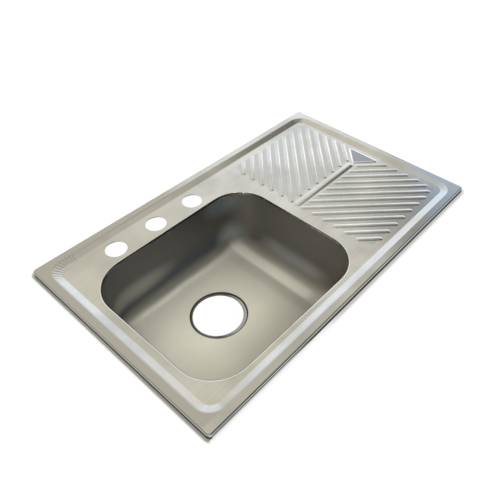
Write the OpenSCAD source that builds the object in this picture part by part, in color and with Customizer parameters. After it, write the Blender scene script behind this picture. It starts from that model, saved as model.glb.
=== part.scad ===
// Inset kitchen sink: one bowl, three tap holes and a ribbed drainboard on the right.
// Millimetres. The origin is the centre of the rim's seat, in the plane of the worktop it rests on.
// X runs along the long side with the drainboard at +X, Y runs to the tap ledge, Z is up.

/* [Top] */
// Thickness of the steel sheet
sheet_t = 1; // [0.6:0.1:1.4]
// Height of the turned-down rim above the worktop
rim_h = 12; // [9:0.5:20]
// Corner radius of the rim
rim_corner_r = 8; // [5:0.5:16]
// Radius of the fold along the rim
fold_r = 3; // [2:0.5:4]
// Width of the flat land around the top
land_w = 18; // [14:0.5:26]
// Width of the sloped band inside the land
slope_w = 14; // [13:0.5:20]
// Drop of the sloped band to the recessed deck
slope_drop = 5; // [3:0.5:7]
// Outer corner radius of the sloped band
slope_corner_r = 36; // [24:1:60]

/* [Bowl] */
// Width of the bowl's opening
bowl_w = 416; // [300:2:500]
// Depth of the bowl's opening, front to back
bowl_d = 353; // [300:1:420]
// Corner radius of the opening
bowl_corner_r = 79; // [50:1:100]
// Corner radius where the walls meet the floor
bowl_floor_corner_r = 45; // [30:1:60]
// Depth of the floor below the deck
bowl_depth = 165; // [120:5:220]
// From the left edge of the top to the opening
bowl_left_margin = 49; // [47:1:70]
// From the front edge of the top to the opening
bowl_front_margin = 45; // [45:1:70]
// Radius of the lip where the deck turns down
lip_r = 3; // [2:0.5:5]
// Straight collar under the lip, which the bowl is welded to
collar_h = 2; // [1:0.5:8]
// How far the walls lean in before the floor's fillet
wall_draft = 4; // [0:0.5:8]
// Fillet between the floor and the front, back and left walls
floor_fillet_r = 24; // [12:1:30]
// Fillet between the floor and the wall on the drainboard's side
board_fillet_r = 56; // [20:1:60]

/* [Drain] */
// Radius of the drain hole
drain_r = 56; // [45:0.5:58]
// Radius of the pressed recess around it
drain_recess_r = 64.5; // [61:0.5:70]
// Depth of the recess
drain_recess_depth = 4; // [3:0.5:8]
// Radius of the recess's bends
drain_bend_r = 1.5; // [1:0.5:2]
// From the bowl's centre to the drain, to the left
drain_left = 9; // [0:1:20]
// From the bowl's centre to the drain, to the back
drain_back = 39; // [0:1:45]

/* [Tap holes] */
// Radius of each tap hole
tap_r = 22.5; // [16:0.5:23]
// Distance between tap holes
tap_pitch = 101.6; // [90:0.1:120]
// Flat steel left between the bowl's lip and the tap holes
tap_web = 9.5; // [2:0.5:20]
// From the tap holes to the back edge of the top
tap_back_margin = 44.5; // [42:0.5:70]

/* [Drainboard] */
// From the bowl's opening to the right edge of the top
board_w = 335; // [260:5:450]
// From the bowl's opening to the ribs
board_left_gap = 27; // [20:1:40]
// From the sloped band to the ribs on the right
board_right_gap = 8; // [5:1:20]
// From the sloped band to the ribs at the front and back
board_side_gap = 13; // [10:1:30]
// Corner radius of the ribbed field on the right
board_corner_r = 45; // [20:1:80]
// Distance between ribs along the board
rib_pitch = 30; // [24:1:40]
// Width of a rib
rib_w = 12; // [10:0.5:14]
// Height of a rib
rib_h = 2; // [1.5:0.1:3.5]
// From the board's centre line to the ribs
rib_center_gap = 11; // [10:1:20]
// Shortest rib worth pressing, measured across the board
rib_min = 20; // [10:1:40]
// Width of the ridge along the centre line
ridge_w = 18; // [14:1:20]
// Height of the ridge
ridge_h = 2.5; // [1.5:0.1:3.5]
// From the first rib's foot to the tip of the raised triangle
triangle_gap = 21; // [18:0.5:30]
// From the ribbed field's right edge to the triangle's base
triangle_end = 9; // [6:0.5:14]
// Length of the triangle along the board
triangle_w = 39.5; // [30:0.5:50]
// Half of the triangle's base
triangle_half = 34; // [25:1:42]
// Height of the triangle
triangle_h = 2.5; // [1.5:0.1:3.5]
// Radius of the triangle's corners
triangle_r = 5; // [3:0.5:8]
// From the ribs' back ends to the punch mark in the board's back corner
mark_gap = 17; // [10:1:30]
// Radius of the punch mark
mark_r = 3; // [2:0.5:4]
// Depth of the punch mark
mark_depth = 0.5; // [0.2:0.05:0.55]

/* [Underside] */
// Width of the foam seal inside the rim
seal_w = 8; // [5:0.5:9]
// From the rim's outer face to the seal
seal_inset = 3; // [2.5:0.5:4]
// Thickness of the plate under the tap ledge
ledge_plate_t = 2.5; // [1.5:0.5:4]
// Width of the plate past the outer tap holes
ledge_plate_end = 24; // [10:1:30]
// Depth of the plate behind the tap holes
ledge_plate_back = 6; // [4:0.5:8]
// How much wider in radius the plate's holes are than the tap holes
plate_hole_margin = 2; // [0.5:0.5:3]
// From the sloped band to the ends of the drainboard's stiffening channels
channel_end_gap = 28; // [15:1:60]
// Width of a channel between its flanges
channel_w = 22; // [16:1:40]
// Height of a channel
channel_h = 12; // [8:1:25]
// Width of a channel's flange
flange_w = 11; // [6:1:14]
// Distance between the two channels
channel_pitch = 150; // [120:5:180]
// Thickness of the sound-deadening pads
pad_t = 2.5; // [1.5:0.5:5]
// Margin from a pad's edge to the bends around it
pad_margin = 10; // [5:1:20]

/* [Clamps] */
// From the ends of the top to the outer clamps along the front and back
clamp_end_gap = 80; // [70:5:120]
// From the top's centre to the middle clamps, which keep clear of the tap holes
clamp_shift = 60; // [0:5:100]
// Thickness of the stirrup's strip
stirrup_t = 1.5; // [1:0.5:2]
// Width of the strip, across the rim
stirrup_w = 12; // [8:1:13]
// Distance between the stirrup's legs
stirrup_gap = 22; // [16:1:30]
// Depth of the stirrup's web below the worktop's surface
stirrup_depth = 16; // [14:1:20]
// Radius of the threaded boss under the web
boss_r = 5; // [4:0.5:6]
// Length of the threaded boss
boss_h = 4; // [3:0.5:5]
// Radius of the clamp screw
screw_r = 3; // [2:0.5:3.5]
// Radius of the screw's head, across its corners
screw_head_r = 5.8; // [5:0.1:7]
// Height of the screw's head
screw_head_h = 4; // [3:0.5:6]
// Length of the screw above the stirrup's web when slack
screw_spare = 3; // [1:0.5:5]
// Length of the swing arm from the screw to its tip
arm_l = 45; // [38:1:60]
// Width of the swing arm
arm_w = 12; // [10:1:14]
// Thickness of the swing arm
arm_t = 2; // [1.5:0.5:3]
// Height of the tooth at the arm's tip
arm_tooth_h = 2; // [1:0.5:4]
// Thickest worktop that the clamps take
worktop_max = 40; // [34:1:60]

/* [Clearances] */
// Radial clearance of the clamp screw in its thread
thread_clearance = 0.1; // [0.05:0.05:0.2]
// Radial clearance of the arm around the screw
arm_clearance = 0.1; // [0.05:0.05:0.2]
// Gap between the arm and the screw's head
head_clearance = 0.3; // [0.2:0.05:0.5]
// Space between the bowl's lip and the plate under the tap ledge
plate_clearance = 1; // [0.5:0.1:1.5]

/* [Hidden] */
$fn = 64;
hull_fn = 32;
fold_steps = 6;
rib_steps = 4;
fillet_steps = 8;
corner_steps = 10;
overrun = 2;

CLAMP_NAMES = [
    "front_left", "front_middle", "front_right",
    "back_left", "back_middle", "back_right",
    "left_side", "right_side"
];

steel = [0.72, 0.71, 0.68];
zinc = [0.62, 0.64, 0.68];
foam = [0.16, 0.16, 0.17];
bitumen = [0.28, 0.28, 0.3];

// Heights
deck_z = rim_h - slope_drop;
deck_under = deck_z - sheet_t;
land_under = rim_h - sheet_t;
lip_end_z = deck_z - lip_r - collar_h;
floor_z = deck_z - bowl_depth;
floor_under = floor_z - sheet_t;
recess_z = floor_z - drain_recess_depth;

// Plan of the top
top_w = bowl_left_margin + bowl_w + board_w;
top_d = bowl_front_margin + bowl_d + lip_r + tap_web + 2 * tap_r + tap_back_margin;
deck_inset = land_w + slope_w;
deck_x1 = top_w / 2 - deck_inset;
deck_y1 = top_d / 2 - deck_inset;
slope_corner_in = slope_corner_r - slope_w;

// Plan of the bowl
bowl_x0 = bowl_left_margin - top_w / 2;
bowl_x1 = bowl_x0 + bowl_w;
bowl_y0 = bowl_front_margin - top_d / 2;
bowl_y1 = bowl_y0 + bowl_d;
bowl_cx = (bowl_x0 + bowl_x1) / 2;
bowl_cy = (bowl_y0 + bowl_y1) / 2;
floor_inset = wall_draft + floor_fillet_r;
floor_inset_board = wall_draft + board_fillet_r;
drain_x = bowl_cx - drain_left;
drain_y = bowl_cy + drain_back;
tap_y = bowl_y1 + lip_r + tap_web + tap_r;

// Plan of the drainboard: its field, and the corner arc that ends the ribs on the right
board_x0 = bowl_x1 + board_left_gap;
board_x1 = deck_x1 - board_right_gap;
board_y1 = deck_y1 - board_side_gap;
triangle_x = board_x1 - triangle_end - triangle_w;
rib_first = triangle_x - triangle_gap;
rib_count = floor((rib_first - board_x0 + board_y1 - rib_min) / rib_pitch) + 1;
arc_x = board_x1 - board_corner_r;
arc_y = board_y1 - board_corner_r;
arc_r = board_corner_r - rib_w / 2;
board_mid = (board_x0 + board_x1) / 2;
channel_l = 2 * (deck_y1 - channel_end_gap);

// Clamps: the arm's travel ends when its screw is close under the sloped band
clamp_inset = land_w + slope_w / 2 + (slope_w - stirrup_w) / 2;
boss_under = -stirrup_depth - stirrup_t - boss_h;
arm_under = -worktop_max - arm_tooth_h - arm_t;
screw_top = screw_spare - stirrup_depth;
screw_head_top = arm_under - head_clearance;
clamp_x = top_w / 2 - clamp_end_gap;
clamp_y = top_d / 2 - clamp_inset;
clamp_mid = [
    [-clamp_x, -clamp_y], [clamp_shift, -clamp_y], [clamp_x, -clamp_y],
    [-clamp_x, clamp_y], [clamp_shift, clamp_y], [clamp_x, clamp_y],
    [-top_w / 2 + clamp_inset, 0], [top_w / 2 - clamp_inset, 0]
];
clamp_turn = [0, 0, 0, 180, 180, 180, -90, 90];

// Points of an arc in a profile
function arc(center, r, from, to) = [
    for (i = [0:fold_steps])
        let (a = from + (to - from) * i / fold_steps)
        center + r * [cos(a), sin(a)]
];

// Top surface of the sloped band at a distance from the rim's outer face
function slope_z(inset) = rim_h - slope_drop * (inset - land_w) / slope_w;

// A profile carried around a rounded rectangle of w by d whose corner radius is r.
// The profile's x is the distance out from the corners' centres, its y is height.
module around(w, d, r) {
    side_x = w / 2 - r;
    side_y = d / 2 - r;
    for (mx = [0, 1], my = [0, 1])
        mirror([mx, 0, 0])
            mirror([0, my, 0])
                translate([side_x, side_y, 0])
                    rotate_extrude(angle = 90)
                        children();
    for (mx = [0, 1])
        mirror([mx, 0, 0])
            translate([side_x, side_y, 0])
                rotate([90, 0, 0])
                    linear_extrude(2 * side_y)
                        children();
    for (my = [0, 1])
        mirror([0, my, 0])
            translate([-side_x, side_y, 0])
                rotate([90, 0, 90])
                    linear_extrude(2 * side_x)
                        children();
}

// A plate with rounded corners, centred in plan, standing on z = 0
module rounded_plate(w, d, r, h) {
    translate([-w / 2, -d / 2 + r, 0])
        cube([w, d - 2 * r, h]);
    translate([-w / 2 + r, -d / 2, 0])
        cube([w - 2 * r, d, h]);
    for (x = [-1, 1], y = [-1, 1])
        translate([x * (w / 2 - r), y * (d / 2 - r), 0])
            cylinder(r = r, h = h);
}

module tap_holes(r, z, h) {
    for (i = [-1, 0, 1])
        translate([drain_x + i * tap_pitch, tap_y, z])
            cylinder(r = r, h = h);
}

// Pressed drainboard pattern

function rib_offset(k) = rib_first - k * rib_pitch;

function rib_start(k) = max(rib_center_gap + rib_w / 2, board_x0 + rib_w / 2 - rib_offset(k));

function rib_flat_end(k) = min(board_y1 - rib_w / 2, board_x1 - rib_w / 2 - rib_offset(k));

function rib_arc_end(k) =
    (arc_x + arc_y - rib_offset(k)) / 2
    + sqrt(max(0, arc_r * arc_r / 2 - pow(arc_x - arc_y - rib_offset(k), 2) / 4));

function rib_end(k) =
    rib_flat_end(k) > arc_y && rib_flat_end(k) + rib_offset(k) > arc_x
    ? rib_arc_end(k)
    : rib_flat_end(k);

// Half of a rib's round section, w wide on the deck and h high. With an inset it is the hollow
// that the press leaves below, and it runs down through the sheet.
function rib_half(w, h, inset) =
    let (
        r = (w * w / 4 + h * h) / (2 * h),
        mid = deck_z + h - r,
        foot = inset == 0 ? deck_z : deck_under,
        base = inset == 0 ? deck_z - sheet_t / 2 : deck_under - overrun,
        low = asin((foot - mid) / (r - inset)),
        crest = [
            for (i = [0:rib_steps])
                let (a = low + (90 - low) * i / rib_steps)
                [(r - inset) * cos(a), mid + (r - inset) * sin(a)]
        ]
    )
    concat([[0, base], [crest[0].x, base]], crest);

module rib(from, to, w, h, inset) {
    run = to - from;
    half = rib_half(w, h, inset);
    last = len(half) - 1;
    other = [for (i = [last - 1:-1:1]) [-half[i].x, half[i].y]];
    translate([from.x, from.y, 0])
        rotate([0, 0, atan2(run.y, run.x)]) {
            rotate([90, 0, 90])
                linear_extrude(norm(run))
                    polygon([for (p = concat(half, other)) if (p != half[0]) p]);
            rotate([0, 0, 90])
                rotate_extrude(angle = 180)
                    polygon(half);
            translate([norm(run), 0, 0])
                rotate([0, 0, -90])
                    rotate_extrude(angle = 180)
                        polygon(half);
        }
}

// Ribs at 45 degrees in both halves of the board, and the ridge between them
module ribs(inset) {
    for (my = [0, 1], k = [0:rib_count - 1])
        mirror([0, my, 0])
            rib([rib_start(k) + rib_offset(k), rib_start(k)],
                [rib_end(k) + rib_offset(k), rib_end(k)], rib_w, rib_h, inset);
    rib([board_x0 + ridge_w / 2, 0], [triangle_x - ridge_w, 0], ridge_w, ridge_h, inset);
}

module triangle(inset) {
    hull()
        for (p = [[triangle_x, 0], [triangle_x + triangle_w, triangle_half],
                  [triangle_x + triangle_w, -triangle_half]])
            translate([p.x, p.y, deck_under])
                cylinder(r1 = triangle_r + triangle_h - inset, r2 = triangle_r - inset / 2,
                         h = triangle_h + sheet_t - inset, $fn = hull_fn);
}

// Pressed top

module rim_profile() {
    bend = [rim_corner_r - fold_r, rim_h - fold_r];
    polygon(concat(
        [[0, land_under], [0, rim_h]],
        arc(bend, fold_r, 90, 0),
        [[rim_corner_r, 0], [rim_corner_r - sheet_t, 0]],
        arc(bend, fold_r - sheet_t, 0, 90)));
}

module slope_profile() {
    polygon([[slope_corner_r, rim_h], [slope_corner_in, deck_z],
             [slope_corner_in, deck_under], [slope_corner_r, land_under]]);
}

module lip_profile() {
    bend = [bowl_corner_r + lip_r, deck_z - lip_r];
    polygon(concat(
        arc(bend, lip_r, 90, 180),
        [[bowl_corner_r, lip_end_z], [bowl_corner_r + sheet_t, lip_end_z]],
        arc(bend, lip_r - sheet_t, 180, 90)));
}

module deck() {
    lip_out = 2 * lip_r;
    color(steel)
        difference() {
            union() {
                around(top_w, top_d, rim_corner_r)
                    rim_profile();
                difference() {
                    translate([rim_corner_r - top_w / 2, rim_corner_r - top_d / 2, land_under])
                        cube([top_w - 2 * rim_corner_r, top_d - 2 * rim_corner_r, sheet_t]);
                    translate([0, 0, land_under - overrun])
                        rounded_plate(top_w - 2 * land_w, top_d - 2 * land_w, slope_corner_r,
                                      sheet_t + 2 * overrun);
                }
                around(top_w - 2 * land_w, top_d - 2 * land_w, slope_corner_r)
                    slope_profile();
                difference() {
                    translate([0, 0, deck_under])
                        rounded_plate(2 * deck_x1, 2 * deck_y1, slope_corner_in, sheet_t);
                    translate([bowl_cx, bowl_cy, deck_under - overrun])
                        rounded_plate(bowl_w + lip_out, bowl_d + lip_out, bowl_corner_r + lip_r,
                                      sheet_t + 2 * overrun);
                }
                translate([bowl_cx, bowl_cy, 0])
                    around(bowl_w, bowl_d, bowl_corner_r)
                        lip_profile();
                ribs(0);
                triangle(0);
            }
            ribs(sheet_t);
            triangle(sheet_t);
            tap_holes(tap_r, deck_under - overrun, sheet_t + 2 * overrun);
            translate([board_x1, board_y1 - mark_gap, deck_z - mark_depth])
                cylinder(r1 = 0, r2 = mark_r, h = mark_depth);
        }
}

// Drawn bowl. Each ring of its loft has one point of the wall's profile on every side, and the
// corners turn from the profile of one side into that of the next.

// Steps of the profile: how far in from the opening and how high, for a floor fillet of radius r
function wall_in(i, r) = i == 0 ? 0 : wall_draft + r * (1 - cos(90 * (i - 1) / fillet_steps));

function wall_z(i, r) = i == 0 ? lip_end_z : floor_z + r * (1 - sin(90 * (i - 1) / fillet_steps));

// The same point on the sheet's outer face
function skin_in(i, r) = i == 0 ? -sheet_t
    : wall_in(i, r) - sheet_t * cos(90 * (i - 1) / fillet_steps);

function skin_z(i, r) = i == 0 ? lip_end_z
    : wall_z(i, r) - sheet_t * sin(90 * (i - 1) / fillet_steps);

ring_last = fillet_steps + 1;

function ring_corner_r(i, out) =
    bowl_corner_r + (bowl_floor_corner_r - bowl_corner_r) * i / ring_last + out * sheet_t;

function side_in(i, r, out) = out == 1 ? skin_in(i, r) : wall_in(i, r);

function side_z(i, r, out) = out == 1 ? skin_z(i, r) : wall_z(i, r);

// One ring, counter-clockwise from the back right corner; out is 1 for the outer face
function bowl_ring(i, out) = [
    for (q = [0:3], s = [0:corner_steps])
        let (
            a = 90 * q + 90 * s / corner_steps,
            sx = q == 0 || q == 3 ? 1 : -1,
            sy = q < 2 ? 1 : -1,
            r_side = sx == 1 ? board_fillet_r : floor_fillet_r,
            c = ring_corner_r(i, out),
            x_edge = sx == 1 ? bowl_x1 - side_in(i, r_side, out) : bowl_x0 + side_in(i, r_side, out),
            y_edge = sy == 1 ? bowl_y1 - side_in(i, floor_fillet_r, out)
                : bowl_y0 + side_in(i, floor_fillet_r, out),
            z = side_z(i, r_side, out) * pow(cos(a), 2)
                + side_z(i, floor_fillet_r, out) * pow(sin(a), 2)
        )
        [x_edge - sx * c + c * cos(a), y_edge - sy * c + c * sin(a), z]
];

module bowl_loft() {
    n = 4 * (corner_steps + 1);
    rings = ring_last + 1;
    points = concat(
        [for (i = [0:ring_last]) each bowl_ring(i, 1)],
        [for (i = [0:ring_last]) each bowl_ring(i, 0)]);
    inner = n * rings;
    outer_walls = [
        for (i = [0:ring_last - 1], j = [0:n - 1])
            let (a = i * n + j, b = i * n + (j + 1) % n)
            each [[a, b, b + n], [a, b + n, a + n]]
    ];
    inner_walls = [
        for (i = [0:ring_last - 1], j = [0:n - 1])
            let (a = inner + i * n + j, b = inner + i * n + (j + 1) % n)
            each [[a, b + n, b], [a, a + n, b + n]]
    ];
    top_edge = [
        for (j = [0:n - 1])
            let (k = (j + 1) % n)
            each [[j, inner + k, k], [j, inner + j, inner + k]]
    ];
    outer_floor = [[for (j = [0:n - 1]) ring_last * n + j]];
    inner_floor = [[for (j = [n - 1:-1:0]) inner + ring_last * n + j]];
    polyhedron(points = points,
               faces = concat(outer_walls, inner_walls, top_edge, outer_floor, inner_floor));
}

// Recess around the drain hole, from the floor down to its ledge
module drain_profile() {
    top_bend = [drain_recess_r, floor_under - drain_bend_r + sheet_t];
    low_bend = [drain_recess_r - 2 * drain_bend_r, recess_z + drain_bend_r];
    inner = drain_bend_r;
    outer = drain_bend_r - sheet_t;
    polygon(concat(
        arc(top_bend, inner, 90, 180),
        arc(low_bend, inner, 0, -90),
        [[drain_r, recess_z], [drain_r, recess_z - sheet_t]],
        arc(low_bend, inner + sheet_t, -90, 0),
        arc(top_bend, max(outer, 0), 180, 90)));
}

module bowl() {
    color(steel)
        union() {
            difference() {
                bowl_loft();
                translate([drain_x, drain_y, floor_under - overrun])
                    cylinder(r = drain_recess_r, h = sheet_t + 2 * overrun);
            }
            translate([drain_x, drain_y, 0])
                rotate_extrude()
                    drain_profile();
        }
}

// Pieces under the top

module rim_seal() {
    side = rim_corner_r - seal_inset;
    color(foam)
        difference() {
            rounded_plate(top_w - 2 * seal_inset, top_d - 2 * seal_inset, side, land_under);
            inset = seal_inset + seal_w;
            translate([inset - top_w / 2, inset - top_d / 2, -overrun])
                cube([top_w - 2 * inset, top_d - 2 * inset, land_under + 2 * overrun]);
        }
}

module tap_ledge_plate() {
    half = tap_pitch + tap_r + ledge_plate_end;
    front = bowl_y1 + lip_r + plate_clearance;
    back = tap_y + tap_r + ledge_plate_back;
    z = deck_under - ledge_plate_t;
    color(zinc)
        difference() {
            translate([drain_x - half, front, z])
                cube([2 * half, back - front, ledge_plate_t]);
            tap_holes(tap_r + plate_hole_margin, z - overrun, ledge_plate_t + 2 * overrun);
        }
}

module drainboard_channel(x) {
    under = deck_under - sheet_t;
    low = deck_under - channel_h;
    half = channel_w / 2;
    color(zinc)
        translate([x, channel_l / 2, 0])
            rotate([90, 0, 0])
                linear_extrude(channel_l)
                    polygon([[-half - flange_w, deck_under], [-half, deck_under],
                             [-half, low + sheet_t], [half, low + sheet_t], [half, deck_under],
                             [half + flange_w, deck_under], [half + flange_w, under],
                             [half + sheet_t, under], [half + sheet_t, low],
                             [-half - sheet_t, low], [-half - sheet_t, under],
                             [-half - flange_w, under]]);
}

module sound_pad_floor() {
    x0 = bowl_x0 + floor_inset + pad_margin;
    x1 = bowl_x1 - floor_inset_board - pad_margin;
    y0 = bowl_y0 + floor_inset + pad_margin;
    y1 = bowl_y1 - floor_inset - pad_margin;
    color(bitumen)
        difference() {
            translate([x0, y0, floor_under - pad_t])
                cube([x1 - x0, y1 - y0, pad_t]);
            translate([drain_x, drain_y, floor_under - pad_t - overrun])
                cylinder(r = drain_recess_r + pad_margin, h = pad_t + 2 * overrun);
        }
}

// A pad on the outer face of the front wall; the wall's lean sets its profile
module wall_pad() {
    wall_low = floor_z + floor_fillet_r;
    top = lip_end_z - pad_margin - sheet_t;
    low = wall_low + pad_margin;
    lean = wall_draft / (lip_end_z - wall_low);
    face_top = bowl_y0 - sheet_t + lean * (lip_end_z - top);
    face_low = bowl_y0 - sheet_t + lean * (lip_end_z - low);
    length = bowl_w - 2 * bowl_corner_r - 2 * floor_inset;
    color(bitumen)
        translate([bowl_cx - length / 2, 0, 0])
            rotate([90, 0, 90])
                linear_extrude(length)
                    polygon([[face_low - pad_t, low], [face_low, low],
                             [face_top, top], [face_top - pad_t, top]]);
}

module sound_pad_front() {
    wall_pad();
}

module sound_pad_back() {
    translate([0, 2 * bowl_cy, 0])
        mirror([0, 1, 0])
            wall_pad();
}

module sound_pad_drainboard() {
    room = channel_pitch - channel_w - 2 * flange_w - 2 * pad_margin;
    color(bitumen)
        translate([board_mid - room / 2, -channel_l / 2, deck_under - pad_t])
            cube([room, channel_l, pad_t]);
}

// Clamps. Each is drawn at a front edge: the stirrup hangs from the sloped band, the screw runs
// up into it, and the arm lies along the rim until it is swung out under the worktop.

module at_clamp(i) {
    translate([clamp_mid[i].x, clamp_mid[i].y, 0])
        rotate([0, 0, clamp_turn[i]])
            children();
}

module stirrup_leg() {
    out_z = slope_z(clamp_inset - stirrup_w / 2) - sheet_t;
    in_z = slope_z(clamp_inset + stirrup_w / 2) - sheet_t;
    rotate([90, 0, 90])
        linear_extrude(stirrup_t)
            polygon([[-stirrup_w / 2, -stirrup_depth - stirrup_t], [-stirrup_w / 2, out_z],
                     [stirrup_w / 2, in_z], [stirrup_w / 2, -stirrup_depth - stirrup_t]]);
}

module stirrup(i) {
    web_under = -stirrup_depth - stirrup_t;
    half = stirrup_gap / 2;
    color(zinc)
        at_clamp(i)
            difference() {
                union() {
                    for (x = [-half - stirrup_t, half])
                        translate([x, 0, 0])
                            stirrup_leg();
                    translate([-half - stirrup_t, -stirrup_w / 2, web_under])
                        cube([stirrup_gap + 2 * stirrup_t, stirrup_w, stirrup_t]);
                    translate([0, 0, boss_under])
                        cylinder(r = boss_r, h = boss_h);
                }
                translate([0, 0, boss_under - overrun])
                    cylinder(r = screw_r + thread_clearance,
                             h = boss_h + stirrup_t + 2 * overrun);
            }
}

module clamp_screw(i) {
    slot_w = screw_r / 2;
    slot_h = screw_head_h / 2;
    color(zinc)
        at_clamp(i)
            difference() {
                union() {
                    translate([0, 0, screw_head_top - screw_head_h])
                        cylinder(r = screw_head_r, h = screw_head_h, $fn = 6);
                    translate([0, 0, screw_head_top])
                        cylinder(r = screw_r, h = screw_top - screw_head_top);
                }
                translate([-screw_head_r, -slot_w / 2, screw_head_top - screw_head_h - overrun])
                    cube([2 * screw_head_r, slot_w, slot_h + overrun]);
            }
}

module clamp_arm(i) {
    color(zinc)
        at_clamp(i)
            difference() {
                union() {
                    translate([0, 0, arm_under])
                        cylinder(r = arm_w / 2, h = arm_t);
                    translate([0, -arm_w / 2, arm_under])
                        cube([arm_l, arm_w, arm_t]);
                    translate([arm_l - arm_t, -arm_w / 2, arm_under])
                        cube([arm_t, arm_w, arm_t + arm_tooth_h]);
                }
                translate([0, 0, arm_under - overrun])
                    cylinder(r = screw_r + arm_clearance, h = arm_t + 2 * overrun);
            }
}

deck();
bowl();
rim_seal();
tap_ledge_plate();
drainboard_channel(board_mid - channel_pitch / 2);  // drainboard_channel_left
drainboard_channel(board_mid + channel_pitch / 2);  // drainboard_channel_right
sound_pad_floor();
sound_pad_front();
sound_pad_back();
sound_pad_drainboard();
for (i = [0:len(CLAMP_NAMES) - 1]) {
    stirrup(i);
    clamp_screw(i);
    clamp_arm(i);
}
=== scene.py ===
"""Looks of an inset kitchen sink with a ribbed drainboard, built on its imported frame.

Lengths are in metres. X runs along the long side with the drainboard at +X, Y runs to the tap
ledge, and Z = 0 is the worktop that the sink's rim rests on.
"""
import math

import bmesh
import bpy
from bpy.props import FloatProperty, FloatVectorProperty, IntProperty, PointerProperty
from mathutils import Matrix, Vector


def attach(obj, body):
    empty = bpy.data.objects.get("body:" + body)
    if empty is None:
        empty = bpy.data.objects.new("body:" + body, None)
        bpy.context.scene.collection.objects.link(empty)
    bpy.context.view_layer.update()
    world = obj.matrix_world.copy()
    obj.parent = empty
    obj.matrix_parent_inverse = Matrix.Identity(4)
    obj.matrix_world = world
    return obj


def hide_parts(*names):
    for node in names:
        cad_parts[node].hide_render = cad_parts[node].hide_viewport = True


bl_info = {
    "name": "Kitchen Sink",
    "version": (1, 0, 0),
    "blender": (4, 5, 0),
    "location": "3D View > Sidebar > Sink",
    "description": "Pressed steel sink with a bowl, tap holes and a ribbed drainboard",
    "category": "Add Mesh",
}

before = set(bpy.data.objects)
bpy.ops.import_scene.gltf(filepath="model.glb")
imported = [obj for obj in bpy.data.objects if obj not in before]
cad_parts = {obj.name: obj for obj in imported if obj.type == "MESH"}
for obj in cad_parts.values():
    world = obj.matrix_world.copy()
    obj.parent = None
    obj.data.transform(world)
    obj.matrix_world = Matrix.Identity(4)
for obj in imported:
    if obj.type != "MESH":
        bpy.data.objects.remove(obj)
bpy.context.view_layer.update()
MM = 0.001
UP = Vector((0, 0, 1))

# Points per corner or circle of an outline
RIM_STEPS = 12
BOWL_STEPS = 20
RIB_STEPS = 8
RIDGE_STEPS = 12
TAP_POINTS = 64
DRAIN_POINTS = 96
MARK_POINTS = 16

# Steps through a bend's section
BEND_STEPS = 6
SLOPE_STEPS = 4
LIP_STEPS = 8

# The bowl's wall runs from stage 0 at the brim over 1, where its fillet starts, to the floor
FLOOR_STAGE = 9


def length(name, description, default, low=0.0):
    """A length in metres that the sidebar shows in the scene's units."""
    return FloatProperty(
        name=name, description=description, default=default, min=low, max=2.0,
        unit="LENGTH", subtype="DISTANCE", precision=4,
    )


def colour(name, description, default):
    return FloatVectorProperty(
        name=name, description=description, default=default, size=3, min=0, max=2,
        subtype="COLOR",
    )


class SinkTop(bpy.types.PropertyGroup):
    """Sizes of the pressed top"""

    width: length("Width", "Overall width of the top", 800 * MM)
    depth: length("Depth", "Overall depth of the top", 500 * MM)
    sheet: length("Sheet", "Thickness of the steel", 1 * MM)
    rim_height: length("Rim Height", "Height of the rim above the worktop", 12 * MM)
    rim_corner: length("Rim Corner", "Corner radius of the rim", 8 * MM)
    fold: length("Fold", "Radius of the fold along the rim", 3 * MM)
    land: length("Land", "Width of the flat land around the top", 16.8 * MM)
    slope: length("Slope", "Width of the sloped band", 16 * MM)
    drop: length("Drop", "Drop of the sloped band", 5 * MM)
    slope_corner: length("Slope Corner", "Outer corner radius of the sloped band", 36 * MM)
    bend: length("Bend", "Radius of the bends along the sloped band", 3 * MM)
    tap_radius: length("Tap Hole Radius", "Radius of each tap hole", 22.5 * MM)
    tap_pitch: length("Tap Hole Pitch", "Distance between tap holes", 101.6 * MM)
    tap_x: length("Middle Tap Hole X", "Place of the middle tap hole", -152 * MM, low=-1.0)
    tap_y: length("Tap Holes Y", "Place of the row of tap holes", 183 * MM, low=-1.0)


class SinkBoard(bpy.types.PropertyGroup):
    """Sizes of the drainboard's pressed pattern"""

    left: length("Left End", "Left end of the ribbed field", 92 * MM)
    right: length("Right End", "Right end of the ribbed field", 360 * MM)
    half_depth: length("Half Depth", "From the centre line to the field's edge", 205 * MM)
    corner: length("Corner", "Corner radius of the field on the right", 45 * MM)
    first_rib: length("First Rib", "Where the first rib's line meets the centre line", 290.5 * MM)
    pitch: length("Rib Pitch", "Distance between ribs along the board", 30 * MM)
    ribs: IntProperty(name="Ribs", description="Ribs in each half", default=13, min=1, max=30)
    rib_width: length("Rib Width", "Width of a rib", 12 * MM)
    rib_height: length("Rib Height", "Height of a rib", 1.5 * MM)
    gap: length("Centre Gap", "From the centre line to the ribs", 11 * MM)
    ridge_left: length("Ridge Left", "Left end of the ridge's centre line", 101 * MM)
    ridge_right: length("Ridge Right", "Right end of the ridge's centre line", 296.5 * MM)
    ridge_width: length("Ridge Width", "Width of the ridge", 18 * MM)
    ridge_height: length("Ridge Height", "Height of the ridge", 2.3 * MM)
    tip: length("Triangle Tip", "Place of the raised triangle's tip", 315 * MM)
    base: length("Triangle Base", "Place of the raised triangle's base", 351 * MM)
    half_base: length("Half Base", "Half of the triangle's base", 34 * MM)
    triangle_corner: length("Triangle Corner", "Radius of its top's corners", 5 * MM)
    triangle_height: length("Triangle Height", "Height of the triangle", 1.6 * MM)
    mark_x: length("Mark X", "Place of the punch mark", 360 * MM)
    mark_y: length("Mark Y", "Place of the punch mark", 188 * MM)


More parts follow.
